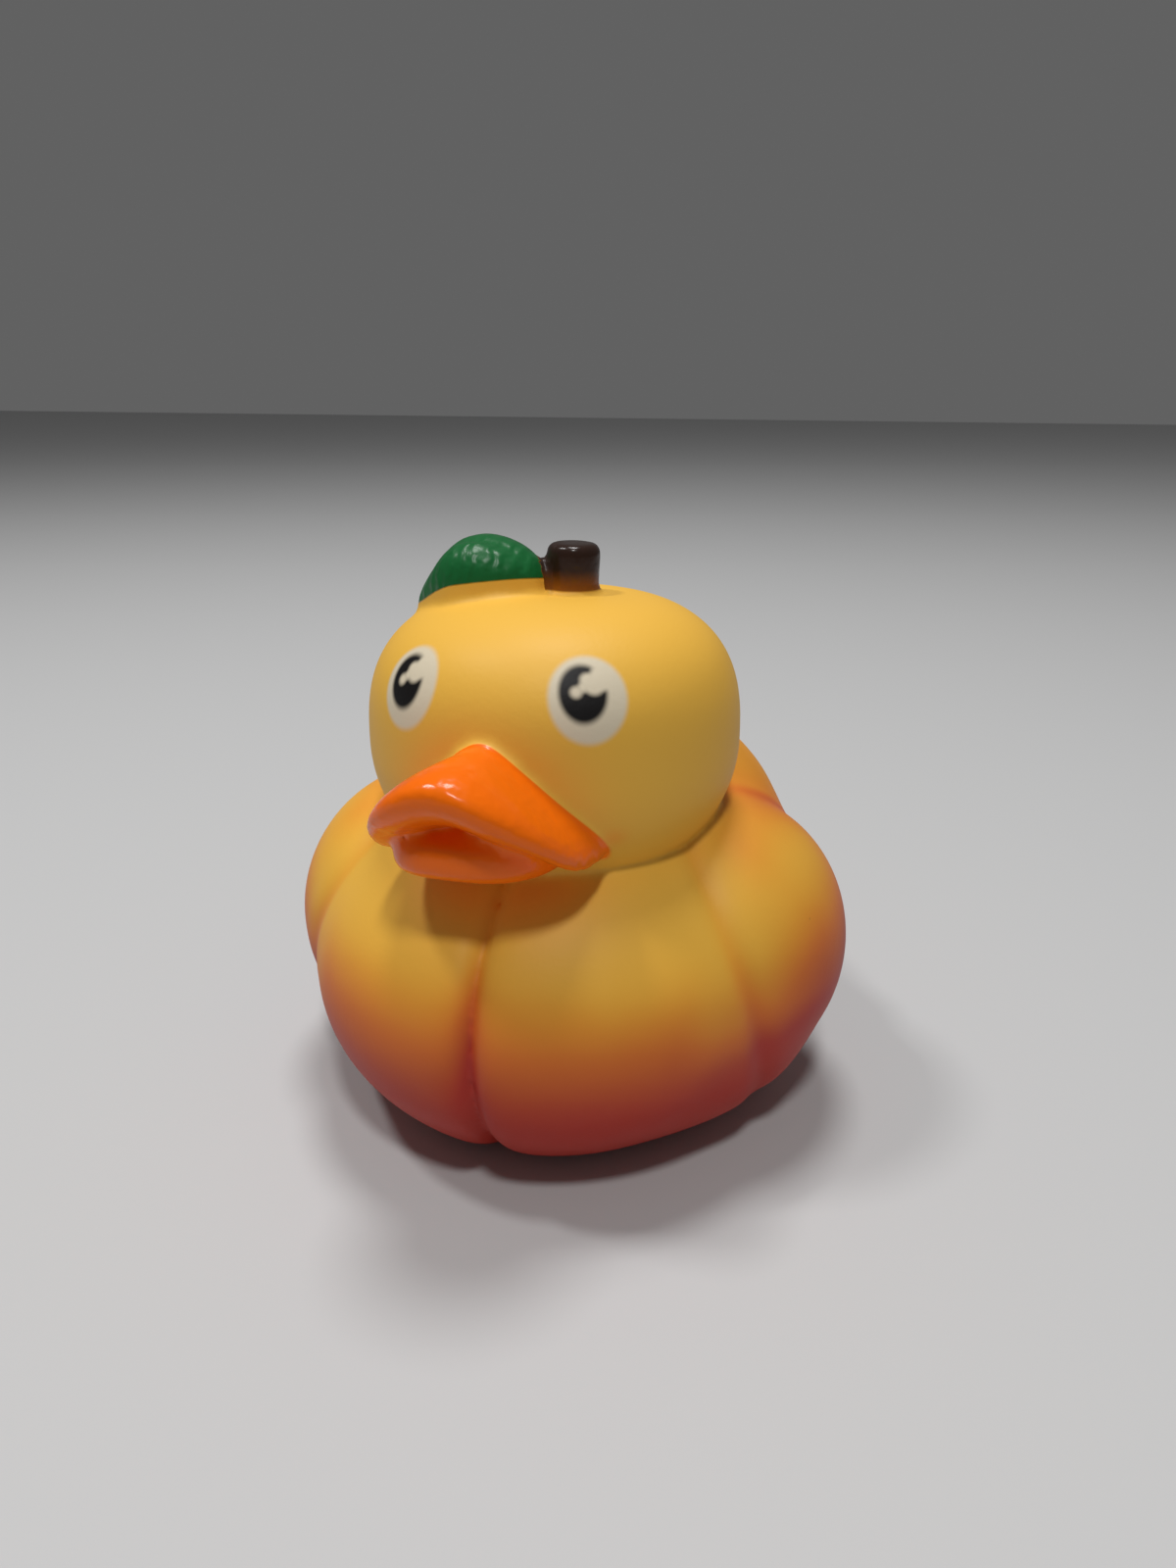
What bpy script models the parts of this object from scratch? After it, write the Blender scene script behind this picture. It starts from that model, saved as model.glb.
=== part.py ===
# Rubber duck with a fruit-shaped head: one hollow shell of soft vinyl, moulded in one piece.
# The duck faces -Y, its left side is +X, and it stands on its flat base at z = 0.

import math

import bmesh
import bpy
import numpy as np

MM = 0.001

# Driving dimensions, in millimetres
WALL = 1.6                    # vinyl thickness of the shell
BODY_RADIUS = 20.6            # round front body, seen from above
BODY_HALF_HEIGHT = 15.6
BODY_HEIGHT = 12.9            # height of the body's centre over the base
HEAD_RADIUS = 15.0
HEAD_HEIGHT = 32.7            # height of the head's widest ring over the base
HEAD_ABOVE = 11.6             # widest ring up to the flat top
HEAD_BELOW = 12.9             # widest ring down to the chin's lowest point
HEAD_TOP_SQUARENESS = 2.8     # 2 is an ellipse, more is flatter
WING_CENTRE = (13.0, 3.2, 14.6)
WING_RADII = (11.4, 13.5, 12.2)
WING_PITCH = -5.0             # degrees, top leaning back
TAIL_CENTRE = (0.0, 14.6, 19.5)
TAIL_RADII = (17.1, 9.6, 14.6)
TAIL_LEAN = 18.0              # degrees, foot leaning back
TAIL_TIP_CENTRE = (0.0, 19.7, 25.2)
TAIL_TIP_RADII = (8.6, 5.6, 8.8)
TAIL_TIP_LEAN = -38.0
CLEFT_DEPTH = 1.2             # soft crease down the middle of the breast
CLEFT_WIDTH = 1.2
BILL_ROOT_Y = -13.0
BILL_SKEW = 0.11              # the tip points a little to the duck's right
BILL_OUTLINE_POWER = 2.5      # 2 is an ellipse seen from above, more is squarer
UPPER_BILL_RADII = (7.9, 9.4, 2.3)
UPPER_BILL_HEIGHT = HEAD_HEIGHT + 0.8
UPPER_BILL_RISE = 0.09        # lift per millimetre towards the tip
UPPER_BILL_EDGE_POWER = 2.5
UPPER_BILL_UNDERCUT = 0.16
RIDGE_SLOPE = 0.87            # the upper bill falls away like a roof on both sides of its middle
RIDGE_ROOT_SOFTNESS = 1.2
RIDGE_LIP_SOFTNESS = 4.0
LOWER_BILL_SIDE = -0.6
LOWER_BILL_RADII = (5.9, 7.3, 2.2)
LOWER_BILL_HEIGHT = HEAD_HEIGHT - 4.3
LOWER_BILL_RISE = 0.1
LOWER_BILL_ARCH = 0.015
LOWER_BILL_EDGE_POWER = 3.0
MOUTH_RADII = (5.6, 6.8, 2.3)  # the closed mouth between the two bills
MOUTH_HEIGHT = HEAD_HEIGHT - 2.1
LEAF_CENTRE = (-6.2, -0.3, HEAD_HEIGHT + 11.6)
LEAF_RADII = (5.4, 4.2, 4.1)
LEAF_EDGE_POWER = 2.8
LEAF_NARROWING = 0.35         # how much narrower the leaf is at its tip
LEAF_DROOP = 0.06             # drop of the tip per square millimetre beyond LEAF_BEND_X
LEAF_BEND_X = -5.0
STEM_CENTRE = (0.9, 2.0)
STEM_RADIUS = 2.15
STEM_TOP = HEAD_HEIGHT + 15.0
STEM_ROUNDING = 0.6
AIR_HOLE_RADIUS = 1.25        # through the middle of the base

# Blends where two lobes meet, in millimetres
WING_BLEND = 2.0
WING_LOW_BLEND = 5.0          # added towards the base, where wing and breast run together
TAIL_BLEND = 3.5
TAIL_TIP_BLEND = 6.0

# Mesh fineness
BODY_RINGS = (84, 42)
HEAD_RINGS = (44, 24)
DETAIL_RINGS = (40, 20)
CAVITY_BODY_RINGS = (40, 20)
CAVITY_HEAD_RINGS = (28, 16)
SEARCH_STEPS = 40
SEARCH_REACH = 60.0


def clear_scene():
    for old in list(bpy.data.objects):
        bpy.data.objects.remove(old, do_unlink=True)


# Each field is negative inside its form, positive outside, and roughly a distance in millimetres.

def smooth_step(values, start, end):
    t = np.clip((values - start) / (end - start), 0.0, 1.0)
    return t * t * (3.0 - 2.0 * t)


def blend(first, second, width):
    overlap = np.maximum(width - np.abs(first - second), 0.0) / width
    return np.minimum(first, second) - overlap * overlap * width * 0.25


def egg(points, centre, radii):
    offset = points - np.array(centre)
    size = np.array(radii)
    near = np.sqrt(((offset / size) ** 2).sum(axis=1))
    slope = np.sqrt(((offset / size ** 2) ** 2).sum(axis=1))
    return near * (near - 1.0) / np.maximum(slope, 1e-6)


def pitched(points, centre, degrees):
    turn = math.radians(degrees)
    offset = points - np.array(centre)
    y = offset[:, 1] * math.cos(turn) + offset[:, 2] * math.sin(turn)
    z = offset[:, 2] * math.cos(turn) - offset[:, 1] * math.sin(turn)
    return np.column_stack((offset[:, 0], y, z)) + np.array(centre)


def body_field(points):
    front = egg(points, (0.0, 0.0, BODY_HEIGHT), (BODY_RADIUS, BODY_RADIUS, BODY_HALF_HEIGHT))
    mirrored = points.copy()
    mirrored[:, 0] = np.abs(mirrored[:, 0])
    wings = egg(pitched(mirrored, WING_CENTRE, WING_PITCH), WING_CENTRE, WING_RADII)
    tail = egg(pitched(points, TAIL_CENTRE, TAIL_LEAN), TAIL_CENTRE, TAIL_RADII)
    tip = egg(pitched(points, TAIL_TIP_CENTRE, TAIL_TIP_LEAN), TAIL_TIP_CENTRE, TAIL_TIP_RADII)
    lobes = blend(front, wings, WING_BLEND + WING_LOW_BLEND * smooth_step(-points[:, 2], -12.0, -3.0))
    return blend(lobes, blend(tail, tip, TAIL_TIP_BLEND), TAIL_BLEND)


def breast_field(points):
    in_front = 1.0 / (1.0 + np.exp(points[:, 1] / 1.5))
    cleft = CLEFT_DEPTH * np.exp(-(np.abs(points[:, 0]) / CLEFT_WIDTH) ** 1.2)
    return body_field(points) + cleft * in_front


def head_field(points):
    across = np.hypot(points[:, 0], points[:, 1]) / HEAD_RADIUS
    rise = points[:, 2] - HEAD_HEIGHT
    above = rise > 0.0
    along = np.where(above, rise / HEAD_ABOVE, -rise / HEAD_BELOW)
    power = np.where(above, HEAD_TOP_SQUARENESS, 2.0)
    return ((across ** power + along ** power) ** (1.0 / power) - 1.0) * HEAD_ABOVE


def skewed(points):
    points[:, 0] -= BILL_SKEW * np.maximum(BILL_ROOT_Y - points[:, 1], 0.0)
    return points


def shape_upper_bill(points):
    to_lip = smooth_step(BILL_ROOT_Y - points[:, 1], 2.0, UPPER_BILL_RADII[1])
    softness = RIDGE_ROOT_SOFTNESS + (RIDGE_LIP_SOFTNESS - RIDGE_ROOT_SOFTNESS) * to_lip
    points[:, 2] -= RIDGE_SLOPE * (np.sqrt(points[:, 0] ** 2 + softness ** 2) - softness)
    points[:, 2] += UPPER_BILL_RISE * (BILL_ROOT_Y - points[:, 1])
    return skewed(points)


def shape_lower_bill(points):
    points[:, 2] -= LOWER_BILL_ARCH * points[:, 0] ** 2
    points[:, 2] += LOWER_BILL_RISE * (BILL_ROOT_Y - points[:, 1])
    return skewed(points)


def shape_leaf(points):
    along = (points[:, 0] - LEAF_CENTRE[0]) / LEAF_RADII[0]
    narrow = 1.0 - LEAF_NARROWING * smooth_step(-along, 0.1, 1.0)
    points[:, 1] = LEAF_CENTRE[1] + (points[:, 1] - LEAF_CENTRE[1]) * narrow
    points[:, 2] -= LEAF_DROOP * np.minimum(points[:, 0] - LEAF_BEND_X, 0.0) ** 2
    return points


def new_object(name, mesh_builder):
    builder = bmesh.new()
    mesh_builder(builder)
    bmesh.ops.recalc_face_normals(builder, faces=builder.faces)
    mesh = bpy.data.meshes.new(name)
    builder.to_mesh(mesh)
    builder.free()
    obj = bpy.data.objects.new(name, mesh)
    bpy.context.scene.collection.objects.link(obj)
    return obj


def as_tool(obj):
    obj.hide_render = True
    obj.display_type = "WIRE"
    return obj


def blown_form(name, centre, field, rings, wall=0.0):
    """A sphere whose points are pushed out along their own rays to where the field is -wall."""
    def build(builder):
        bmesh.ops.create_uvsphere(builder, u_segments=rings[0], v_segments=rings[1], radius=1.0)
        rays = np.array([vert.co.normalized() for vert in builder.verts])
        origin = np.array(centre)
        inner = np.zeros(len(rays))
        outer = np.full(len(rays), SEARCH_REACH)
        for _ in range(SEARCH_STEPS):
            middle = (inner + outer) / 2.0
            inside = field(origin + rays * middle[:, None]) < -wall
            inner = np.where(inside, middle, inner)
            outer = np.where(inside, outer, middle)
        for vert, place in zip(builder.verts, origin + rays * inner[:, None]):
            vert.co = place * MM
    return as_tool(new_object(name, build))


def cushion(name, centre, radii, outline_power, edge_power, shape=None, undercut=0.0):
    """A ball squared in outline and at its edge by the two powers, then bent by a rule."""
    def build(builder):
        segments, rings = DETAIL_RINGS
        bmesh.ops.create_uvsphere(builder, u_segments=segments, v_segments=rings, radius=1.0)
        points = np.array([vert.co for vert in builder.verts])
        across = np.maximum(np.hypot(points[:, 0], points[:, 1]), 1e-9)
        turn = points[:, :2] / across[:, None]
        outline = np.maximum((np.abs(turn) ** outline_power).sum(axis=1), 1e-6) ** (-1.0 / outline_power)
        spread = across ** (2.0 / edge_power) * outline
        spread *= 1.0 - undercut * np.maximum(-points[:, 2], 0.0)
        points[:, :2] = turn * spread[:, None]
        points[:, 2] = np.sign(points[:, 2]) * np.abs(points[:, 2]) ** (2.0 / edge_power)
        points = points * np.array(radii) + np.array(centre)
        if shape:
            points = shape(points)
        for vert, place in zip(builder.verts, points):
            vert.co = place * MM
    return as_tool(new_object(name, build))


def stem_form():
    bottom = HEAD_HEIGHT + HEAD_ABOVE - 3.0

    def build(builder):
        depth = STEM_TOP - bottom
        bmesh.ops.create_cone(builder, cap_ends=True, segments=24, radius1=STEM_RADIUS * 0.94 * MM,
                              radius2=STEM_RADIUS * MM, depth=depth * MM)
        rim = [edge for edge in builder.edges if all(vert.co.z > 0.0 for vert in edge.verts)]
        bmesh.ops.bevel(builder, geom=rim, offset=STEM_ROUNDING * MM, segments=2, profile=0.5,
                        affect="EDGES", material=-1)
        middle = (STEM_CENTRE[0] * MM, STEM_CENTRE[1] * MM, (bottom + depth / 2.0) * MM)
        bmesh.ops.translate(builder, verts=builder.verts, vec=middle)
    return as_tool(new_object("stem_form", build))


def block(name, low, high):
    def build(builder):
        bmesh.ops.create_cube(builder, size=1.0)
        size = [b - a for a, b in zip(low, high)]
        middle = [(a + b) / 2.0 * MM for a, b in zip(low, high)]
        bmesh.ops.scale(builder, verts=builder.verts, vec=[side * MM for side in size])
        bmesh.ops.translate(builder, verts=builder.verts, vec=middle)
    return as_tool(new_object(name, build))


def air_hole():
    def build(builder):
        bmesh.ops.create_cone(builder, cap_ends=True, segments=24, radius1=AIR_HOLE_RADIUS * MM,
                              radius2=AIR_HOLE_RADIUS * MM, depth=8.0 * WALL * MM)
    return as_tool(new_object("air_hole", build))


def combine(target, tool, operation):
    modifier = target.modifiers.new(tool.name, "BOOLEAN")
    modifier.operation = operation
    modifier.solver = "EXACT"
    modifier.object = tool


def bake_modifiers(obj):
    graph = bpy.context.evaluated_depsgraph_get()
    mesh = bpy.data.meshes.new_from_object(obj.evaluated_get(graph))
    obj.modifiers.clear()
    obj.data = mesh


def vinyl_cavity():
    body_centre = (0.0, 2.0, BODY_HEIGHT)
    cavity = blown_form("cavity_body", body_centre, body_field, CAVITY_BODY_RINGS, WALL)
    head = blown_form("cavity_head", (0.0, 0.0, HEAD_HEIGHT), head_field, CAVITY_HEAD_RINGS, WALL)
    floor = block("cavity_floor", (-40.0, -40.0, -20.0), (40.0, 50.0, WALL))
    combine(cavity, head, "UNION")
    combine(cavity, floor, "DIFFERENCE")
    return cavity


def bill_forms():
    upper_centre = (0.0, BILL_ROOT_Y, UPPER_BILL_HEIGHT)
    lower_centre = (LOWER_BILL_SIDE, BILL_ROOT_Y, LOWER_BILL_HEIGHT)
    mouth_centre = (0.0, BILL_ROOT_Y, MOUTH_HEIGHT)
    return (
        cushion("upper_bill_form", upper_centre, UPPER_BILL_RADII, BILL_OUTLINE_POWER,
                UPPER_BILL_EDGE_POWER, shape_upper_bill, UPPER_BILL_UNDERCUT),
        cushion("lower_bill_form", lower_centre, LOWER_BILL_RADII, BILL_OUTLINE_POWER,
                LOWER_BILL_EDGE_POWER, shape_lower_bill),
        cushion("mouth_form", mouth_centre, MOUTH_RADII, 2.0, 2.0),
    )


def duck_body():
    body_centre = (0.0, 2.0, BODY_HEIGHT)
    duck = blown_form("duck_body", body_centre, breast_field, BODY_RINGS)
    lobes = (
        blown_form("head_form", (0.0, 0.0, HEAD_HEIGHT), head_field, HEAD_RINGS),
        *bill_forms(),
        cushion("leaf_form", LEAF_CENTRE, LEAF_RADII, 2.0, LEAF_EDGE_POWER, shape_leaf),
        stem_form(),
    )
    for lobe in lobes:
        combine(duck, lobe, "UNION")
    combine(duck, block("base_cut", (-40.0, -40.0, -20.0), (40.0, 50.0, 0.0)), "DIFFERENCE")
    combine(duck, vinyl_cavity(), "DIFFERENCE")
    combine(duck, air_hole(), "DIFFERENCE")
    duck.hide_render = False
    duck.display_type = "TEXTURED"
    bake_modifiers(duck)
    return duck


def set_over_origin(obj):
    """Moves the mesh so that the middle of its box stands over the origin, front to back."""
    places = [vert.co.y for vert in obj.data.vertices]
    shift = -(min(places) + max(places)) / 2.0
    for vert in obj.data.vertices:
        vert.co.y += shift


def vinyl_material():
    material = bpy.data.materials.new("yellow_vinyl")
    material.use_nodes = True
    shader = material.node_tree.nodes["Principled BSDF"]
    shader.inputs["Base Color"].default_value = (0.72, 0.42, 0.09, 1.0)
    shader.inputs["Roughness"].default_value = 0.5
    shader.inputs["Metallic"].default_value = 0.0
    return material


def main():
    clear_scene()
    duck = duck_body()
    set_over_origin(duck)
    duck.data.materials.clear()
    duck.data.materials.append(vinyl_material())
    duck.data.shade_smooth()
    duck.data.set_sharp_from_angle(angle=math.radians(40.0))


main()
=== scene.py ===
import math

import bmesh
import bpy
import numpy as np
from mathutils import Matrix, Vector


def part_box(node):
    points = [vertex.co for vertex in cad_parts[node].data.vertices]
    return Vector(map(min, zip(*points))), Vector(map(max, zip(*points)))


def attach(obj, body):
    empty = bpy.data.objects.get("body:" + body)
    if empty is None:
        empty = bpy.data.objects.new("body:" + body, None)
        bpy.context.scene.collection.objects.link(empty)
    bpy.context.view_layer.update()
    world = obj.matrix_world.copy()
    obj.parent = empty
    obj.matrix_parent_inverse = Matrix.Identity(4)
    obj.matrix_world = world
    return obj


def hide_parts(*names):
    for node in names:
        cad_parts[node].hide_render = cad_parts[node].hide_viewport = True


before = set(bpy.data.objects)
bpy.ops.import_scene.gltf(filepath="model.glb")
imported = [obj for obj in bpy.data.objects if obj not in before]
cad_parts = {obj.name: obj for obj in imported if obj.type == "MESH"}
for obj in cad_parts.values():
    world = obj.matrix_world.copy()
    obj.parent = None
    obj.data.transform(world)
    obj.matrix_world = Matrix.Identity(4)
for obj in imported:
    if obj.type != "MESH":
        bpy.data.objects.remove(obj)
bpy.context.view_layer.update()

duckName = "duck_body"
low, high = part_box(duckName)

# The forms below are in millimetres, with the head's axis at x = y = 0 and the flat base at z = 0.
forms = {
    "height": 48.36,          # base to the top of the leaf, as in the frame
    "front": -22.4,           # tip of the bill
    "bodyRadius": 20.6,
    "bodyHalfHeight": 15.6,
    "bodyHeight": 12.9,
    "bodyMiddleY": 2.0,
    "headRadius": 15.0,
    "headHeight": 32.7,
    "headAbove": 11.6,
    "headBelow": 12.9,
    "headSquareness": 2.8,
    "dimpleRadius": 4.2,
    "dimpleDepth": 0.7,
    "dimpleFrom": 6.0,        # the dimple round the stem starts this far above the head's middle
}
millimetre = (high.z - low.z) / forms["height"]
headAxisY = low.y - forms["front"] * millimetre


# Each field is negative inside its form and positive outside, roughly a distance in millimetres.

def softMin(first, second, width):
    overlap = np.maximum(width - np.abs(first - second), 0.0) / width
    return np.minimum(first, second) - overlap * overlap * width * 0.25


def smoothStep(values, start, end):
    t = np.clip((values - start) / (end - start), 0.0, 1.0)
    return t * t * (3.0 - 2.0 * t)


def egg(points, centre, radii):
    offset = points - np.array(centre)
    size = np.array(radii)
    near = np.sqrt(((offset / size) ** 2).sum(axis=1))
    slope = np.sqrt(((offset / size ** 2) ** 2).sum(axis=1))
    return near * (near - 1.0) / np.maximum(slope, 1e-6)


def pitched(points, centre, degrees):
    turn = math.radians(degrees)
    offset = points - np.array(centre)
    y = offset[:, 1] * math.cos(turn) + offset[:, 2] * math.sin(turn)
    z = offset[:, 2] * math.cos(turn) - offset[:, 1] * math.sin(turn)
    return np.column_stack((offset[:, 0], y, z)) + np.array(centre)


wing = {
    "centre": (13.0, 3.2, 14.6), "radii": (11.4, 13.5, 12.2), "pitch": -5.0,
    "blend": 2.0, "lowBlend": 5.0, "lowHeights": (12.0, 3.0),    # the wings melt into the body low down
}
groove = {"depth": 0.4, "width": 0.6, "fade": (0.0, -6.0)}
tail = {
    "centre": (0.0, 14.6, 19.5), "radii": (17.1, 9.6, 14.6), "lean": 18.0, "blend": 3.5,
    "tipCentre": (0.0, 19.7, 25.2), "tipRadii": (8.6, 5.6, 8.8), "tipLean": -38.0, "tipBlend": 6.0,
}
cleft = {"depth": 1.2, "width": 0.8, "sharpness": 1.1, "fade": 1.5}


def frontField(points):
    radius = forms["bodyRadius"]
    return egg(points, (0.0, 0.0, forms["bodyHeight"]), (radius, radius, forms["bodyHalfHeight"]))


def wingField(points):
    mirrored = points.copy()
    mirrored[:, 0] = np.abs(mirrored[:, 0])
    return egg(pitched(mirrored, wing["centre"], wing["pitch"]), wing["centre"], wing["radii"])


def tailField(points):
    stump = egg(pitched(points, tail["centre"], tail["lean"]), tail["centre"], tail["radii"])
    tip = egg(pitched(points, tail["tipCentre"], tail["tipLean"]), tail["tipCentre"], tail["tipRadii"])
    return softMin(stump, tip, tail["tipBlend"])


def cleftDepth(points):
    inFront = 1.0 / (1.0 + np.exp(points[:, 1] / cleft["fade"]))
    profile = np.exp(-(np.abs(points[:, 0]) / cleft["width"]) ** cleft["sharpness"])
    return cleft["depth"] * profile * inFront


def grooveDepth(points):
    # soft furrows where the wings meet the breast
    apart = frontField(points) - wingField(points)
    furrow = groove["depth"] * np.exp(-(apart / groove["width"]) ** 2)
    return furrow * smoothStep(points[:, 1], *groove["fade"])


def bodyField(points):
    blend = wing["blend"] + wing["lowBlend"] * smoothStep(points[:, 2], *wing["lowHeights"])
    lobes = softMin(frontField(points), wingField(points), blend)
    skinned = softMin(lobes, tailField(points), tail["blend"])
    return skinned + cleftDepth(points) + grooveDepth(points)


def headField(points):
    across = np.hypot(points[:, 0], points[:, 1]) / forms["headRadius"]
    rise = points[:, 2] - forms["headHeight"]
    above = rise > 0.0
    along = np.where(above, rise / forms["headAbove"], -rise / forms["headBelow"])
    power = np.where(above, forms["headSquareness"], 2.0)
    shell = ((across ** power + along ** power) ** (1.0 / power) - 1.0) * forms["headAbove"]
    fromStem = np.hypot(points[:, 0] - stem["x"], points[:, 1] - stem["y"])
    dimple = forms["dimpleDepth"] * np.exp(-(fromStem / forms["dimpleRadius"]) ** 2)
    return shell + np.where(rise > forms["dimpleFrom"], dimple, 0.0)


def pad(points, centre, radii, planPower, edgePower):
    # a cushion: planPower squares its outline, edgePower squares its edge
    offset = np.abs(points - np.array(centre)) / np.array(radii)
    across = (offset[:, 0] ** planPower + offset[:, 1] ** planPower) ** (1.0 / planPower)
    return ((across ** edgePower + offset[:, 2] ** edgePower) ** (1.0 / edgePower) - 1.0) * radii[2]


bill = {
    "rootY": -13.0, "planPower": 2.5, "skew": 0.11,
    "upperRadii": (7.9, 9.4, 2.3), "upperHeight": 33.5, "upperRise": 0.09, "upperPower": 2.5,
    "ridgeSlope": 0.87, "rootRidge": 1.2, "lipRidge": 4.0, "ridgeStart": 2.0, "undercut": 0.16,
    "lipDepth": 0.5, "lipReach": (3.0, 8.0), "lipSides": (2.5, 6.5),
    "lowerRadii": (5.9, 7.3, 2.2), "lowerHeight": 28.4, "lowerRise": 0.1, "lowerPower": 3.0,
    "lowerArch": 0.015, "lowerSide": -0.6,
    "mouthRadii": (5.4, 6.6, 1.9), "mouthHeight": 30.0,
}


def upperDrop(points):
    # how far the upper bill hangs below its middle: a sharp ridge at the root, a softer one at the lip
    toLip = smoothStep(bill["rootY"] - points[:, 1], bill["ridgeStart"], bill["upperRadii"][1])
    ridge = bill["rootRidge"] + (bill["lipRidge"] - bill["rootRidge"]) * toLip
    fold = bill["ridgeSlope"] * (np.sqrt(points[:, 0] ** 2 + ridge ** 2) - ridge)
    return fold - bill["upperRise"] * (bill["rootY"] - points[:, 1])


def lipDepth(points):
    # the upper lip is deeper in the middle of its front than at the corners
    toFront = smoothStep(bill["rootY"] - points[:, 1], *bill["lipReach"])
    toCorner = smoothStep(np.abs(points[:, 0]), *bill["lipSides"])
    return 1.0 + bill["lipDepth"] * toFront * (1.0 - toCorner)


def skewed(points):
    # the tip of the bill points a little to the duck's right
    straight = points.copy()
    straight[:, 0] += bill["skew"] * np.maximum(bill["rootY"] - points[:, 1], 0.0)
    return straight


def upperBillField(points):
    flat = skewed(points)
    flat[:, 2] += upperDrop(flat)
    below = flat[:, 2] - bill["upperHeight"]
    flat[:, 2] = bill["upperHeight"] + np.where(below < 0.0, below / lipDepth(flat), below)
    centre = (0.0, bill["rootY"], bill["upperHeight"])
    return pad(flat, centre, bill["upperRadii"], bill["planPower"], bill["upperPower"])


def lowerDrop(points):
    return bill["lowerArch"] * points[:, 0] ** 2 - bill["lowerRise"] * (bill["rootY"] - points[:, 1])


def lowerBillField(points):
    flat = skewed(points)
    flat[:, 2] += lowerDrop(flat)
    centre = (bill["lowerSide"], bill["rootY"], bill["lowerHeight"])
    return pad(flat, centre, bill["lowerRadii"], bill["planPower"], bill["lowerPower"])


def billField(points):
    mouth = egg(points, (0.0, bill["rootY"], bill["mouthHeight"]), bill["mouthRadii"])
    return np.minimum(np.minimum(upperBillField(points), lowerBillField(points)), mouth)


stem = {
    "x": 0.9, "y": 2.0, "radius": 2.15, "footShare": 0.95, "top": 47.7, "sunk": 3.0,
    "rounding": 0.6, "lean": 2.0,
}


def stemField(points):
    return np.hypot(points[:, 0] - stem["x"], points[:, 1] - stem["y"]) - stem["radius"]


# The forms are made as meshes in millimetres.

mesh = {
    "bodyRings": (260, 130), "headRings": (200, 100), "detailRings": (112, 56), "stemSides": 64,
    "farthest": 60.0, "halvings": 36, "voxel": 0.34, "smoothPasses": 4,
}


def meshPoints(data):
    flat = np.empty(len(data.vertices) * 3, np.float32)
    data.vertices.foreach_get("co", flat)
    return flat.reshape(-1, 3).astype(float)


def setMeshPoints(data, points):
    data.vertices.foreach_set("co", points.astype(np.float32).ravel())
    data.update()


def newPiece(name, bm):
    data = bpy.data.meshes.new(name)
    bm.to_mesh(data)
    bm.free()
    piece = bpy.data.objects.new(name, data)
    bpy.context.scene.collection.objects.link(piece)
    return piece


def ball(name, rings):
    bm = bmesh.new()
    bmesh.ops.create_uvsphere(bm, u_segments=rings[0], v_segments=rings[1], radius=1.0)
    return newPiece(name, bm)


def blownForm(name, centre, field, rings):
    # every point of a ball is pushed out along its own ray until it meets the field's surface
    piece = ball(name, rings)
    rays = meshPoints(piece.data)
    rays /= np.linalg.norm(rays, axis=1)[:, None]
    inner = np.zeros(len(rays))
    outer = np.full(len(rays), mesh["farthest"])
    for halving in range(mesh["halvings"]):
        middle = (inner + outer) / 2.0
        inside = field(np.array(centre) + rays * middle[:, None]) < 0.0
        inner = np.where(inside, middle, inner)
        outer = np.where(inside, outer, middle)
    setMeshPoints(piece.data, np.array(centre) + rays * inner[:, None])
    return piece


def padForm(name, centre, radii, planPower, edgePower, undercut=0.0):
    # a ball's points moved onto the cushion with the same centre
    piece = ball(name, mesh["detailRings"])
    points = meshPoints(piece.data)
    across = np.maximum(np.hypot(points[:, 0], points[:, 1]), 1e-9)
    turnX, turnY = points[:, 0] / across, points[:, 1] / across
    rounds = np.abs(turnX) ** planPower + np.abs(turnY) ** planPower
    outline = np.maximum(rounds, 1e-6) ** (-1.0 / planPower)      # the ball's poles have no outline
    spread = across ** (2.0 / edgePower) * outline
    spread *= 1.0 - undercut * np.maximum(-points[:, 2], 0.0)
    points[:, 0] = turnX * spread
    points[:, 1] = turnY * spread
    points[:, 2] = np.sign(points[:, 2]) * np.abs(points[:, 2]) ** (2.0 / edgePower)
    setMeshPoints(piece.data, points * np.array(radii) + np.array(centre))
    return piece


def makeUpperBill():
    centre = (0.0, bill["rootY"], bill["upperHeight"])
    piece = padForm("upperBillForm", centre, bill["upperRadii"], bill["planPower"], bill["upperPower"],
                    bill["undercut"])
    points = meshPoints(piece.data)
    below = points[:, 2] - bill["upperHeight"]
    points[:, 2] = bill["upperHeight"] + np.where(below < 0.0, below * lipDepth(points), below)
    points[:, 2] -= upperDrop(points)
    points[:, 0] -= bill["skew"] * np.maximum(bill["rootY"] - points[:, 1], 0.0)
    setMeshPoints(piece.data, points)
    return piece


def makeLowerBill():
    centre = (bill["lowerSide"], bill["rootY"], bill["lowerHeight"])
    piece = padForm("lowerBillForm", centre, bill["lowerRadii"], bill["planPower"], bill["lowerPower"])
    points = meshPoints(piece.data)
    points[:, 2] -= lowerDrop(points)
    points[:, 0] -= bill["skew"] * np.maximum(bill["rootY"] - points[:, 1], 0.0)
    setMeshPoints(piece.data, points)
    return piece


def makeMouth():
    return padForm("mouthForm", (0.0, bill["rootY"], bill["mouthHeight"]), bill["mouthRadii"], 2.0, 2.0)


leaf = {
    "centre": (-6.2, -0.3, 44.3), "radii": (5.4, 4.2, 4.1), "edgePower": 2.8,
    "narrowing": 0.35, "narrowFrom": (-0.1, -1.0),
    "heelSlope": 0.12, "heelFrom": (-0.1, 1.0), "tipSlope": 0.22, "tipFrom": (-0.2, -0.9),
    "ribY": -1.2, "ribDepth": 0.4, "ribWidth": 0.6, "ribRise": (0.5, 2.5),
    "droop": 0.06, "bendX": -5.0,
}


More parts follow.
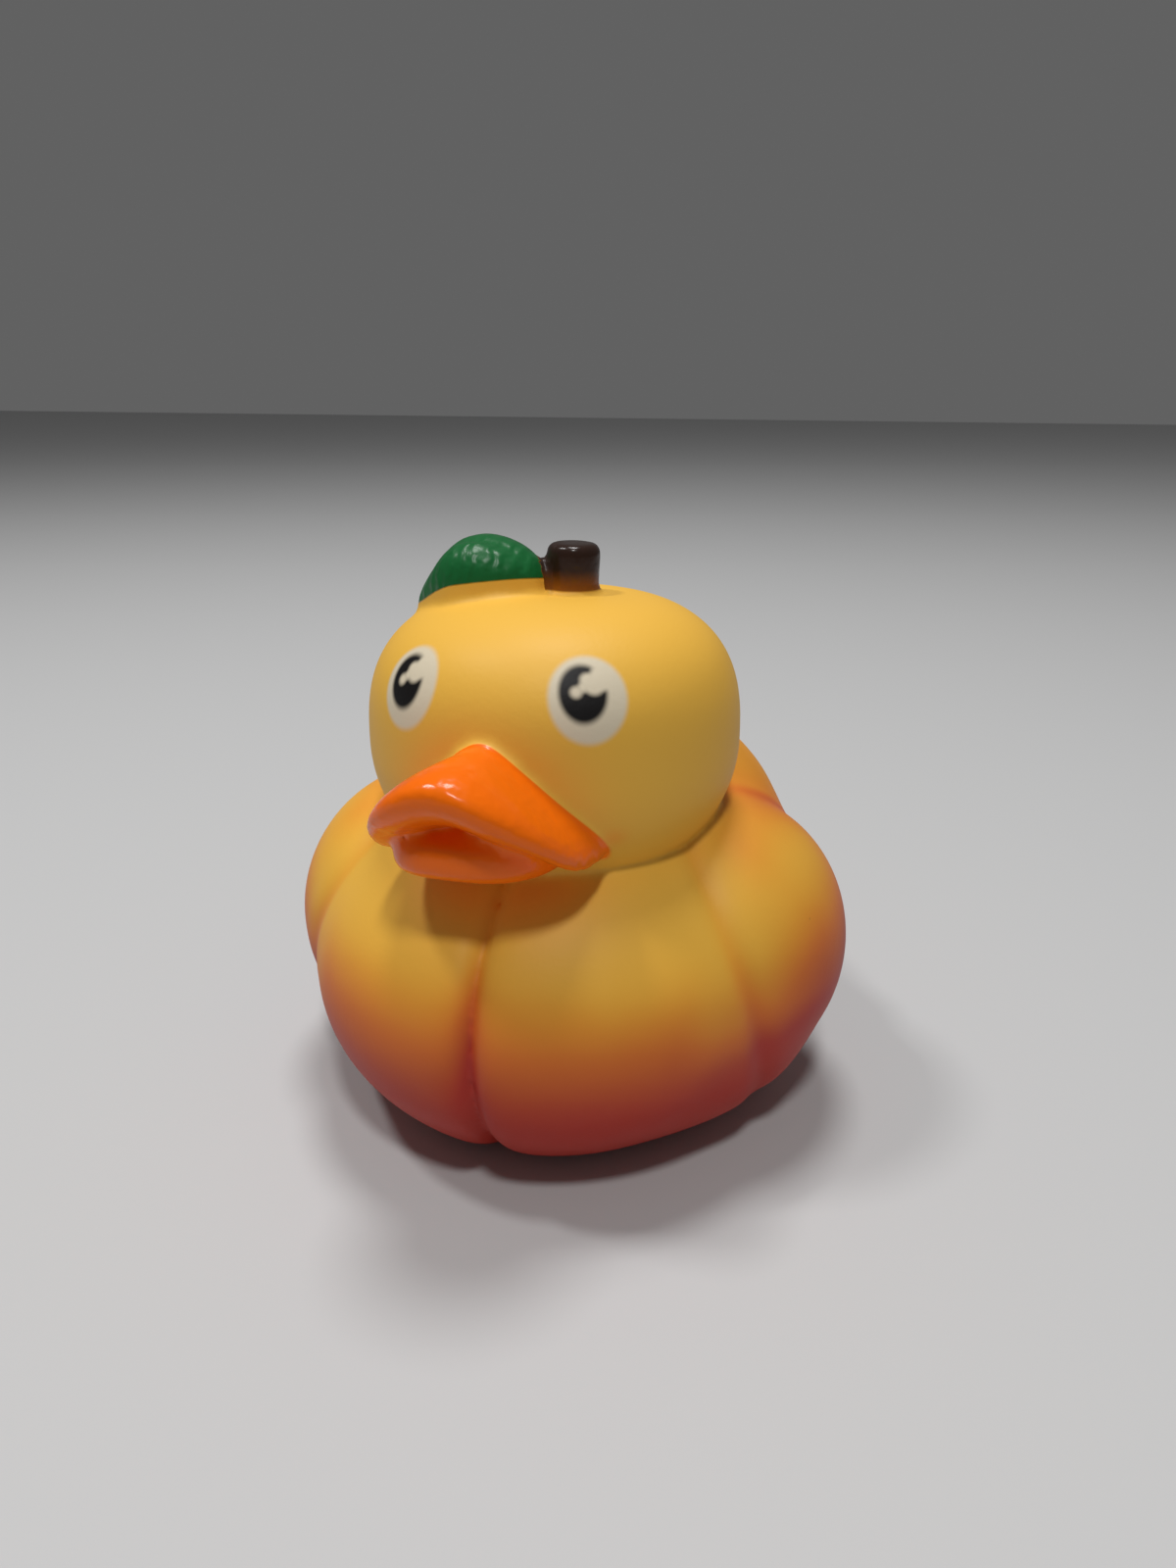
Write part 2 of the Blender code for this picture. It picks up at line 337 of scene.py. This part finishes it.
def makeLeaf():
    piece = padForm("leafForm", leaf["centre"], leaf["radii"], 2.0, leaf["edgePower"])
    points = meshPoints(piece.data)
    along = (points[:, 0] - leaf["centre"][0]) / leaf["radii"][0]
    narrow = 1.0 - leaf["narrowing"] * smoothStep(along, *leaf["narrowFrom"])
    points[:, 1] = leaf["centre"][1] + (points[:, 1] - leaf["centre"][1]) * narrow
    rise = np.maximum(points[:, 2] - leaf["centre"][2], 0.0)
    points[:, 2] -= leaf["heelSlope"] * rise * smoothStep(along, *leaf["heelFrom"])
    points[:, 2] -= leaf["tipSlope"] * rise * smoothStep(along, *leaf["tipFrom"])
    fromRib = points[:, 1] - leaf["centre"][1] - leaf["ribY"]
    upper = smoothStep(points[:, 2] - leaf["centre"][2], *leaf["ribRise"])
    points[:, 2] -= leaf["ribDepth"] * np.exp(-(fromRib / leaf["ribWidth"]) ** 2) * upper
    points[:, 2] -= leaf["droop"] * np.minimum(points[:, 0] - leaf["bendX"], 0.0) ** 2
    setMeshPoints(piece.data, points)
    return piece


def makeStem():
    bottom = forms["headHeight"] + forms["headAbove"] - stem["sunk"]
    depth = stem["top"] - bottom
    bm = bmesh.new()
    bmesh.ops.create_cone(bm, cap_ends=True, segments=mesh["stemSides"], depth=depth,
                          radius1=stem["radius"] * stem["footShare"], radius2=stem["radius"])
    rim = [edge for edge in bm.edges if all(vert.co.z > 0.0 for vert in edge.verts)]
    bmesh.ops.bevel(bm, geom=rim, offset=stem["rounding"], segments=5, profile=0.5,
                    affect="EDGES", material=-1)
    bmesh.ops.rotate(bm, verts=bm.verts, matrix=Matrix.Rotation(math.radians(stem["lean"]), 3, "Y"))
    bmesh.ops.translate(bm, verts=bm.verts, vec=(stem["x"], stem["y"], bottom + depth / 2.0))
    return newPiece("stemForm", bm)


# One skin is drawn over all the forms.

vent = {"radius": 1.25, "depth": 1.2, "sides": 48}    # air hole in the base


def joinForms(pieces):
    bm = bmesh.new()
    for piece in pieces:
        bm.from_mesh(piece.data)
        bpy.data.objects.remove(piece)
    return newPiece("duckSkin", bm)


def remeshSkin(skin):
    remesh = skin.modifiers.new("skinOver", "REMESH")
    remesh.mode = "VOXEL"
    remesh.voxel_size = mesh["voxel"]
    graph = bpy.context.evaluated_depsgraph_get()
    fine = bpy.data.meshes.new_from_object(skin.evaluated_get(graph))
    skin.modifiers.clear()
    skin.data = fine


def finishSkin(skin):
    # soft creases, then the flat base with its blind air hole
    bm = bmesh.new()
    bm.from_mesh(skin.data)
    for turn in range(mesh["smoothPasses"]):
        bmesh.ops.smooth_vert(bm, verts=bm.verts, factor=0.5,
                              use_axis_x=True, use_axis_y=True, use_axis_z=True)
    everything = bm.verts[:] + bm.edges[:] + bm.faces[:]
    bmesh.ops.bisect_plane(bm, geom=everything, plane_co=(0, 0, 0), plane_no=(0, 0, -1), clear_outer=True)
    rim = [edge for edge in bm.edges if edge.is_boundary]
    opening = bmesh.ops.create_circle(bm, cap_ends=False, segments=vent["sides"], radius=vent["radius"])
    circle = list({edge for vert in opening["verts"] for edge in vert.link_edges})
    bmesh.ops.triangle_fill(bm, use_beauty=True, use_dissolve=False, edges=rim + circle, normal=(0, 0, -1))
    wall = bmesh.ops.extrude_edge_only(bm, edges=circle)
    raised = [item for item in wall["geom"] if isinstance(item, bmesh.types.BMVert)]
    bmesh.ops.translate(bm, verts=raised, vec=(0, 0, vent["depth"]))
    top = [edge for edge in bm.edges if edge.is_boundary]
    bmesh.ops.holes_fill(bm, edges=top, sides=0)
    bmesh.ops.recalc_face_normals(bm, faces=bm.faces)
    bm.to_mesh(skin.data)
    bm.free()
    skin.data.shade_smooth()


def storeValue(skin, name, values):
    attribute = skin.data.attributes.new(name, "FLOAT", "POINT")
    attribute.data.foreach_set("value", values.astype(np.float32))


# A pair is where a fade starts and where it is full, and ridgeSide and the widths are lengths, all in
# millimetres. The other single values say how strong each share of the red is.
shading = {
    "lowHeights": (24.5, 5.5),
    # the first share is a painted highlight: less red on the fronts of the wings, where light falls on their
    # bulge
    "paintedHighlight": 0.3, "highlightSides": (14.0, 17.0), "highlightBack": (0.0, 8.0), "highlightHeights": (10.0, 15.0),
    "side": 0.35, "sides": (18.0, 24.5), "sideHeights": (27.0, 15.0),
    "back": 0.34, "backReach": (-1.0, 15.0),
    "wing": 0.1, "wingReach": (-9.0, -2.0), "wingEdge": (-1.5, 0.5),
    "ridge": 0.2, "ridgeSide": 16.5, "ridgeWidth": 3.4, "ridgeHeights": (15.0, 21.0),
    "cleft": 0.3, "cleftHeights": (24.0, 16.0), "groove": 0.35,
    "seam": 0.15, "seamWidth": 2.4, "seamReach": (-2.0, 6.0), "seamHeights": (16.0, 22.0),
}


def blushAndPaintedShade(points):
    # sprayed red low down, on the sides and on the tail, and a band of red along the tops of the wings;
    # painted shade as red in the cleft, the furrows and the seam between wings and tail; less red on the
    # wing fronts as a painted highlight
    side, back, height = np.abs(points[:, 0]), points[:, 1], points[:, 2]
    apart = wingField(points) - tailField(points)
    # painted highlight: the fronts of the wings get less red
    onFront = smoothStep(side, *shading["highlightSides"]) * (1.0 - smoothStep(back, *shading["highlightBack"]))
    paintedHighlight = shading["paintedHighlight"] * onFront * smoothStep(height, *shading["highlightHeights"])
    blushAndShade = smoothStep(height, *shading["lowHeights"]) * (1.0 - paintedHighlight)
    outward = smoothStep(side, *shading["sides"]) * smoothStep(height, *shading["sideHeights"])
    blushAndShade += shading["side"] * outward
    blushAndShade += shading["back"] * smoothStep(back, *shading["backReach"])
    ridge = np.exp(-((side - shading["ridgeSide"]) / shading["ridgeWidth"]) ** 2)
    ridge *= smoothStep(height, *shading["ridgeHeights"])
    onWing = (1.0 - smoothStep(apart, *shading["wingEdge"])) * smoothStep(back, *shading["wingReach"])
    blushAndShade += (shading["ridge"] * ridge + shading["wing"]) * onWing
    # painted shade: red in the cleft, the furrows and the seam, following how deep each crease is
    blushAndShade += shading["cleft"] * cleftDepth(points) * smoothStep(height, *shading["cleftHeights"])
    blushAndShade += shading["groove"] * grooveDepth(points)
    seam = np.exp(-(apart / shading["seamWidth"]) ** 2)
    seam *= smoothStep(back, *shading["seamReach"]) * smoothStep(height, *shading["seamHeights"])
    return np.clip(blushAndShade + shading["seam"] * seam, 0.0, 1.0)


# Lengths are in millimetres. A gap is the bare vinyl between the head and the paint's edge.
coat = {
    "faceFront": -6.0, "faceBelow": 10.0, "faceClear": 0.3, "crownAbove": 6.0, "none": -3.0,
    "stemReach": 0.7, "stemGap": 0.4, "leafOverlap": 1.2,
    "leafGap": 1.3, "leafTipGap": 0.5, "leafTip": (-6.5, -11.0),
    "smudge": (8.7, -12.4, 28.6), "smudgeRadii": (1.0, 1.3, 0.75), "smudgeStrength": 0.45,
    "bodyOverlap": 0.2, "speckStrength": 0.7, "speckReach": (-8.0, 2.0),
}


def markPaint(skin):
    points = meshPoints(skin.data)
    head = headField(points)
    breast = bodyField(points)
    face = (points[:, 1] < coat["faceFront"]) & (points[:, 2] > forms["headHeight"] - coat["faceBelow"])
    face &= breast > coat["faceClear"]
    onBill = np.minimum(head - billField(points), -coat["none"])
    storeValue(skin, "billPaint", np.where(face, onBill, coat["none"]))
    crown = points[:, 2] > forms["headHeight"] + coat["crownAbove"]
    stemSide = crown & (stemField(points) < coat["stemReach"])
    storeValue(skin, "stemPaint", np.where(stemSide, head - coat["stemGap"], coat["none"]))
    leafSide = crown & (points[:, 0] < stem["x"] - stem["radius"] + coat["leafOverlap"])
    toTip = smoothStep(points[:, 0], *coat["leafTip"])
    gap = coat["leafGap"] + (coat["leafTipGap"] - coat["leafGap"]) * toTip
    storeValue(skin, "leafPaint", np.where(leafSide, head - gap, coat["none"]))
    fromCorner = np.linalg.norm((points - np.array(coat["smudge"])) / np.array(coat["smudgeRadii"]), axis=1)
    storeValue(skin, "overspray", coat["smudgeStrength"] * np.exp(-fromCorner ** 2))
    body = breast < head + coat["bodyOverlap"]
    # the red on the body: sprayed blush, with painted shade in its creases and a painted highlight on the
    # wing fronts
    storeValue(skin, "blushAndShade", np.where(body, blushAndPaintedShade(points), 0.0))
    specks = coat["speckStrength"] * smoothStep(points[:, 1], *coat["speckReach"])
    storeValue(skin, "speckled", np.where(body, specks, 0.0))


# Materials, with colours as linear values.

def newMaterial(name):
    material = bpy.data.materials.new(name)
    material.use_nodes = True
    nodes = material.node_tree.nodes
    return material, nodes, material.node_tree.links, nodes["Principled BSDF"]


def addMath(nodes, links, operation, first, second=None, clamp=False):
    node = nodes.new("ShaderNodeMath")
    node.operation = operation
    node.use_clamp = clamp
    for slot, value in enumerate((first, second)):
        if value is None:
            continue
        if isinstance(value, (int, float)):
            node.inputs[slot].default_value = value
        else:
            links.new(value, node.inputs[slot])
    return node.outputs[0]


def addStep(nodes, links, value, start, end):
    node = nodes.new("ShaderNodeMapRange")
    node.interpolation_type = "SMOOTHSTEP"
    node.inputs["From Min"].default_value = start
    node.inputs["From Max"].default_value = end
    links.new(value, node.inputs["Value"])
    return node.outputs["Result"]


def addMix(nodes, links, mask, under, over):
    node = nodes.new("ShaderNodeMix")
    node.data_type = "RGBA"
    for slot, value in ((0, mask), (6, under), (7, over)):
        if isinstance(value, (tuple, float)):
            node.inputs[slot].default_value = value
        else:
            links.new(value, node.inputs[slot])
    return node.outputs[2]


def addBlend(nodes, links, mask, under, over):
    node = nodes.new("ShaderNodeMix")
    node.data_type = "FLOAT"
    for slot, value in ((0, mask), (2, under), (3, over)):
        if isinstance(value, (int, float)):
            node.inputs[slot].default_value = value
        else:
            links.new(value, node.inputs[slot])
    return node.outputs[0]


def addNoise(nodes, links, coordinates, scale, detail=2.0):
    node = nodes.new("ShaderNodeTexNoise")
    node.inputs["Scale"].default_value = scale
    node.inputs["Detail"].default_value = detail
    links.new(coordinates, node.inputs["Vector"])
    return node.outputs["Fac"]


paint = {
    "vinyl": (0.84, 0.47, 0.062, 1.0),
    "vinylWarm": (0.82, 0.38, 0.038, 1.0),
    "orangeBlush": (0.74, 0.19, 0.025, 1.0),
    "redBlush": (0.46, 0.032, 0.018, 1.0),
    "bill": (0.93, 0.155, 0.002, 1.0),
    "leaf": (0.008, 0.12, 0.03, 1.0),
    "stem": (0.028, 0.014, 0.010, 1.0),
    "stemFoot": (0.24, 0.08, 0.008, 1.0),
    "eyeWhite": (0.70, 0.61, 0.45, 1.0),
    "eyeBlack": (0.004, 0.003, 0.003, 1.0),
    "speck": (0.16, 0.05, 0.015, 1.0),
}
eye = {
    "reach": 13.9, "lean": 29.0,
    "places": ((-30.5, 39.0, 12.0), (28.7, 39.25, 0.0)),    # degrees round the head, height, roll
    "white": (0.0, 0.0, 2.8, 3.15),                # across, up, half width, half height
    "black": (-0.33, 0.36, 1.72, 2.12),
    "gleams": (                                    # across, up, radius
        (-0.82, 0.46, 0.40), (-0.3, 0.78, 0.34), (0.5, 0.92, 0.72), (0.05, 1.3, 0.5), (1.2, 1.45, 0.95),
    ),
    "inkEdge": 0.27,
    "thickness": (-4.0, -3.5),                     # the print stops this far behind the eye's centre
}


def makeEyeGroup():
    # one printed eye: where its white and its black lie, from a point and the eye's own axes
    group = bpy.data.node_groups.new("printedEye", "ShaderNodeTree")
    for name in ("Point", "Centre", "Across", "Up", "Out"):
        group.interface.new_socket(name, in_out="INPUT", socket_type="NodeSocketVector")
    for name in ("White", "Black"):
        group.interface.new_socket(name, in_out="OUTPUT", socket_type="NodeSocketFloat")
    nodes, links = group.nodes, group.links
    given = nodes.new("NodeGroupInput").outputs
    result = nodes.new("NodeGroupOutput").inputs
    offset = nodes.new("ShaderNodeVectorMath")
    offset.operation = "SUBTRACT"
    links.new(given["Point"], offset.inputs[0])
    links.new(given["Centre"], offset.inputs[1])

    def along(axis):
        node = nodes.new("ShaderNodeVectorMath")
        node.operation = "DOT_PRODUCT"
        links.new(offset.outputs["Vector"], node.inputs[0])
        links.new(given[axis], node.inputs[1])
        return addMath(nodes, links, "DIVIDE", node.outputs["Value"], millimetre)

    across, up, out = along("Across"), along("Up"), along("Out")

    def oval(middleAcross, middleUp, halfWidth, halfHeight):
        a = addMath(nodes, links, "SUBTRACT", across, middleAcross)
        a = addMath(nodes, links, "DIVIDE", a, halfWidth)
        b = addMath(nodes, links, "SUBTRACT", up, middleUp)
        b = addMath(nodes, links, "DIVIDE", b, halfHeight)
        squares = addMath(nodes, links, "ADD", addMath(nodes, links, "MULTIPLY", a, a),
                          addMath(nodes, links, "MULTIPLY", b, b))
        radius = addMath(nodes, links, "SQRT", squares)
        soft = eye["inkEdge"] / min(halfWidth, halfHeight)
        return addStep(nodes, links, radius, 1.0 + soft, 1.0 - soft)

    facing = addStep(nodes, links, out, *eye["thickness"])
    white = addMath(nodes, links, "MULTIPLY", oval(*eye["white"]), facing)
    black = oval(*eye["black"])
    for middleAcross, middleUp, radius in eye["gleams"]:
        bare = addMath(nodes, links, "SUBTRACT", 1.0, oval(middleAcross, middleUp, radius, radius))
        black = addMath(nodes, links, "MULTIPLY", black, bare)
    links.new(white, result["White"])
    links.new(addMath(nodes, links, "MULTIPLY", black, white), result["Black"])
    return group


def addEye(nodes, links, place, group, around, height, roll):
    turn = math.radians(around)
    lean = math.radians(eye["lean"])
    node = nodes.new("ShaderNodeGroup")
    node.node_tree = group
    centre = Vector((math.sin(turn) * eye["reach"], -math.cos(turn) * eye["reach"], height))
    across = Vector((math.cos(turn), math.sin(turn), 0.0))
    out = Vector((math.sin(turn) * math.cos(lean), -math.cos(turn) * math.cos(lean), math.sin(lean)))
    node.inputs["Centre"].default_value = centre * millimetre + Vector((0.0, headAxisY, low.z))
    rolled = Matrix.Rotation(math.radians(roll), 3, out)
    node.inputs["Across"].default_value = rolled @ across
    node.inputs["Up"].default_value = rolled @ out.cross(across)
    node.inputs["Out"].default_value = out
    links.new(place, node.inputs["Point"])
    return node.outputs


# Scales count per metre, and reliefDepth is in metres.
finish = {
    "vinylRoughness": 0.5, "paintRoughness": 0.22, "leafRoughness": 0.34, "specular": 0.25,
    # these ranges are of the red attribute, which holds sprayed blush and painted shade in the creases
    "warm": (0.0, 0.4), "orange": (0.15, 0.6), "red": (0.4, 1.0),    # blush over which each colour comes in
    "blotchScale": 90.0, "blotchStrength": 0.16,
    "paintEdge": 0.1, "leafEdge": 0.08, "footHeight": 1.8,
    "speckScale": 330.0, "speckSize": (0.07, 0.03), "patchScale": 260.0, "patches": (0.5, 0.6),
    "grainScale": 2600.0, "grainHeight": 0.12, "lumpScale": 1100.0, "lumpHeight": 0.7,
    "rippleScale": 330.0, "rippleBend": 5.0, "rippleDetail": 1.5, "rippleHeight": 0.5,
    "reliefDepth": 0.0001,
}


def addSpecks(nodes, links, place, region):
    # scattered pinpoints of dirt in the vinyl
    cells = nodes.new("ShaderNodeTexVoronoi")
    cells.inputs["Scale"].default_value = finish["speckScale"]
    links.new(place, cells.inputs["Vector"])
    pinpoint = addStep(nodes, links, cells.outputs["Distance"], *finish["speckSize"])
    patches = addNoise(nodes, links, place, finish["patchScale"], 1.0)
    sparse = addStep(nodes, links, patches, *finish["patches"])
    dots = addMath(nodes, links, "MULTIPLY", pinpoint, sparse)
    return addMath(nodes, links, "MULTIPLY", dots, region)


def addRelief(nodes, links, place, onPaint, onLeaf):
    # fine grain in the bare vinyl, soft lumps in the paint and ripples across the leaf
    grain = addNoise(nodes, links, place, finish["grainScale"])
    grain = addMath(nodes, links, "MULTIPLY", grain, finish["grainHeight"])
    lumps = addNoise(nodes, links, place, finish["lumpScale"], 1.0)
    lumps = addMath(nodes, links, "MULTIPLY", lumps, finish["lumpHeight"])
    wave = nodes.new("ShaderNodeTexWave")
    wave.inputs["Scale"].default_value = finish["rippleScale"]
    wave.inputs["Distortion"].default_value = finish["rippleBend"]
    wave.inputs["Detail Scale"].default_value = finish["rippleDetail"]
    links.new(place, wave.inputs["Vector"])
    ripples = addMath(nodes, links, "MULTIPLY", wave.outputs["Fac"], onLeaf)
    ripples = addMath(nodes, links, "MULTIPLY", ripples, finish["rippleHeight"])
    painted = addMath(nodes, links, "ADD", lumps, ripples)
    height = addBlend(nodes, links, onPaint, grain, painted)
    bump = nodes.new("ShaderNodeBump")
    bump.inputs["Strength"].default_value = 1.0
    bump.inputs["Distance"].default_value = finish["reliefDepth"]
    links.new(height, bump.inputs["Height"])
    return bump.outputs["Normal"]


def makeSkinMaterial():
    material, nodes, links, shader = newMaterial("paintedVinyl")
    place = nodes.new("ShaderNodeTexCoord").outputs["Object"]

    def attribute(name):
        node = nodes.new("ShaderNodeAttribute")
        node.attribute_name = name
        return node.outputs["Fac"]

    blotch = addNoise(nodes, links, place, finish["blotchScale"], 3.0)
    blotch = addMath(nodes, links, "SUBTRACT", blotch, 0.5)
    blotch = addMath(nodes, links, "MULTIPLY", blotch, finish["blotchStrength"])
    # the red attribute holds sprayed blush and painted shade in the creases, less on the wing fronts as a
    # painted highlight
    blushAndShade = addMath(nodes, links, "ADD", attribute("blushAndShade"), blotch, clamp=True)
    warm = addStep(nodes, links, blushAndShade, *finish["warm"])
    orange = addStep(nodes, links, blushAndShade, *finish["orange"])
    red = addStep(nodes, links, blushAndShade, *finish["red"])
    colour = addMix(nodes, links, warm, paint["vinyl"], paint["vinylWarm"])
    colour = addMix(nodes, links, orange, colour, paint["orangeBlush"])
    colour = addMix(nodes, links, red, colour, paint["redBlush"])
    specks = addSpecks(nodes, links, place, attribute("speckled"))
    colour = addMix(nodes, links, specks, colour, paint["speck"])
    colour = addMix(nodes, links, attribute("overspray"), colour, paint["bill"])

    onBill = addStep(nodes, links, attribute("billPaint"), -finish["paintEdge"], finish["paintEdge"])
    colour = addMix(nodes, links, onBill, colour, paint["bill"])
    onLeaf = addStep(nodes, links, attribute("leafPaint"), -finish["leafEdge"], finish["leafEdge"])
    colour = addMix(nodes, links, onLeaf, colour, paint["leaf"])
    stemHeight = attribute("stemPaint")
    onStem = addStep(nodes, links, stemHeight, -finish["paintEdge"], finish["paintEdge"])
    aboveFoot = addStep(nodes, links, stemHeight, 0.0, finish["footHeight"])
    stemColour = addMix(nodes, links, aboveFoot, paint["stemFoot"], paint["stem"])
    colour = addMix(nodes, links, onStem, colour, stemColour)
    eyeGroup = makeEyeGroup()
    for around, height, roll in eye["places"]:
        ink = addEye(nodes, links, place, eyeGroup, around, height, roll)
        colour = addMix(nodes, links, ink["White"], colour, paint["eyeWhite"])
        colour = addMix(nodes, links, ink["Black"], colour, paint["eyeBlack"])
    links.new(colour, shader.inputs["Base Color"])

    onPaint = addMath(nodes, links, "MAXIMUM", onBill, addMath(nodes, links, "MAXIMUM", onLeaf, onStem))
    roughness = addBlend(nodes, links, onPaint, finish["vinylRoughness"], finish["paintRoughness"])
    roughness = addBlend(nodes, links, onLeaf, roughness, finish["leafRoughness"])
    links.new(roughness, shader.inputs["Roughness"])
    shader.inputs["Specular IOR Level"].default_value = finish["specular"]
    links.new(addRelief(nodes, links, place, onPaint, onLeaf), shader.inputs["Normal"])
    return material


print("forms")
pieces = [
    blownForm("bodyForm", (0.0, forms["bodyMiddleY"], forms["bodyHeight"]), bodyField, mesh["bodyRings"]),
    blownForm("headForm", (0.0, 0.0, forms["headHeight"]), headField, mesh["headRings"]),
    makeUpperBill(),
    makeLowerBill(),
    makeMouth(),
    makeLeaf(),
    makeStem(),
]
print("skin")
skin = joinForms(pieces)
remeshSkin(skin)
finishSkin(skin)
print("paint")
markPaint(skin)
skin.data.transform(Matrix.Translation((0.0, headAxisY, low.z)) @ Matrix.Scale(millimetre, 4))
skin.data.materials.append(makeSkinMaterial())
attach(skin, "root")
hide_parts(duckName)
print("skin triangles", sum(len(face.vertices) - 2 for face in skin.data.polygons))


stage = {
    "floorSize": 3.0, "floorGrey": 0.54, "floorRoughness": 0.7,
    "azimuth": 17.5, "pitch": 20.0, "lens": 26.0, "sensor": 36.0,
    "headRight": -2.66, "headUp": 4.43, "headDepth": 93.0,     # where the head's centre lies from the camera
}


def makeFloor():
    bm = bmesh.new()
    bmesh.ops.create_grid(bm, x_segments=1, y_segments=1, size=stage["floorSize"] / 2.0)
    floor = newPiece("floor", bm)
    material, nodes, links, shader = newMaterial("paleFloor")
    shader.inputs["Base Color"].default_value = (*[stage["floorGrey"]] * 3, 1.0)
    shader.inputs["Roughness"].default_value = stage["floorRoughness"]
    floor.data.materials.append(material)


def makeCamera():
    turn = math.radians(stage["azimuth"])
    pitch = math.radians(stage["pitch"])
    ahead = Vector((-math.sin(turn) * math.cos(pitch), math.cos(turn) * math.cos(pitch), -math.sin(pitch)))
    right = Vector((math.cos(turn), math.sin(turn), 0.0))
    up = right.cross(ahead)
    head = Vector((0.0, headAxisY, low.z + forms["headHeight"] * millimetre))
    offset = stage["headRight"] * right + stage["headUp"] * up + stage["headDepth"] * ahead
    camera = bpy.data.cameras.new("camera")
    camera.lens = stage["lens"]
    camera.sensor_width = stage["sensor"]
    camera.clip_start = 0.005
    camera.clip_end = 10.0
    holder = bpy.data.objects.new("camera", camera)
    axes = Matrix((right, up, -ahead)).transposed().to_4x4()
    holder.matrix_world = Matrix.Translation(head - offset * millimetre) @ axes
    bpy.context.scene.collection.objects.link(holder)
    bpy.context.scene.camera = holder


light = {
    "worldStrength": 0.12,
    "target": (0.0, 0.0, 0.02),
    "lamps": (                            # name, place and width in metres, power in watts
        ("keyLamp", (0.10, -0.26, 0.53), 0.07, 1.1),
        ("sideLamp", (-0.26, -0.07, 0.54), 0.07, 0.9),
        ("topLamp", (-0.02, 0.10, 0.59), 0.16, 1.6),
    ),
}


def makeLamp(name, place, target, size, power):
    lamp = bpy.data.lights.new(name, "AREA")
    lamp.shape = "DISK"
    lamp.size = size
    lamp.energy = power
    holder = bpy.data.objects.new(name, lamp)
    facing = (Vector(target) - Vector(place)).to_track_quat("-Z", "Y")
    holder.matrix_world = Matrix.Translation(place) @ facing.to_matrix().to_4x4()
    bpy.context.scene.collection.objects.link(holder)


def makeLight():
    bpy.context.scene.view_settings.view_transform = "Standard"
    world = bpy.data.worlds.new("studio")
    bpy.context.scene.world = world
    world.use_nodes = True
    background = world.node_tree.nodes["Background"]
    background.inputs["Color"].default_value = (1.0, 1.0, 1.0, 1.0)
    background.inputs["Strength"].default_value = light["worldStrength"]
    for name, place, size, power in light["lamps"]:
        makeLamp(name, place, light["target"], size, power)


print("stage")
makeFloor()
makeLight()
makeCamera()
